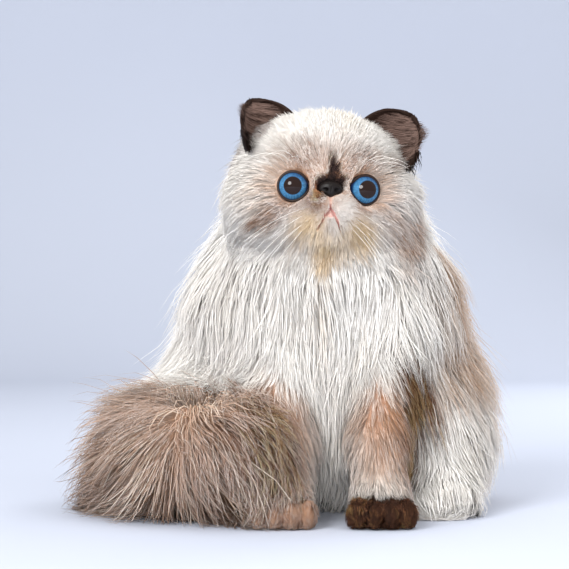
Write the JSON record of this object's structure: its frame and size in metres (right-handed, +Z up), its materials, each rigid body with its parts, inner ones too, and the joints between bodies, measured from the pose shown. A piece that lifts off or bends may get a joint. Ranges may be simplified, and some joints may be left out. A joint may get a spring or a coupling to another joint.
{
  "type": "persian cat model",
  "caption": "Life-size still model of a long-haired, flat-faced colour-point cat, sitting upright with its bushy tail swept round beside its forepaws.",
  "frame": {"origin": "on the floor under the middle of the seat, on the flat underside of the torso", "axes": "+Z up, the face looks towards -Y, +X towards the cat's own left side"},
  "size_m": [0.3252, 0.291, 0.3101],
  "materials": {
    "cream": "matt fur",
    "white": "matt fur",
    "seal": "matt fur",
    "tan": "matt fur",
    "smoke": "matt fur",
    "nose_leather": "moist leather",
    "eye": "wet gloss"
  },
  "bodies": {
    "root": {"head": "cream", "nose": "nose_leather", "eye_left": "eye", "eye_right": "eye", "ear_left": "seal", "ear_right": "seal", "neck": "white", "torso": "white", "foreleg_left": "tan", "foreleg_right": "tan", "forepaw_left": "seal", "forepaw_right": "seal", "haunch_left": "cream", "haunch_right": "cream", "hindfoot_left": "tan", "hindfoot_right": "tan", "tail_base": "smoke", "tail_middle": "smoke", "tail_tip": "smoke"}
  },
  "joints": []
}
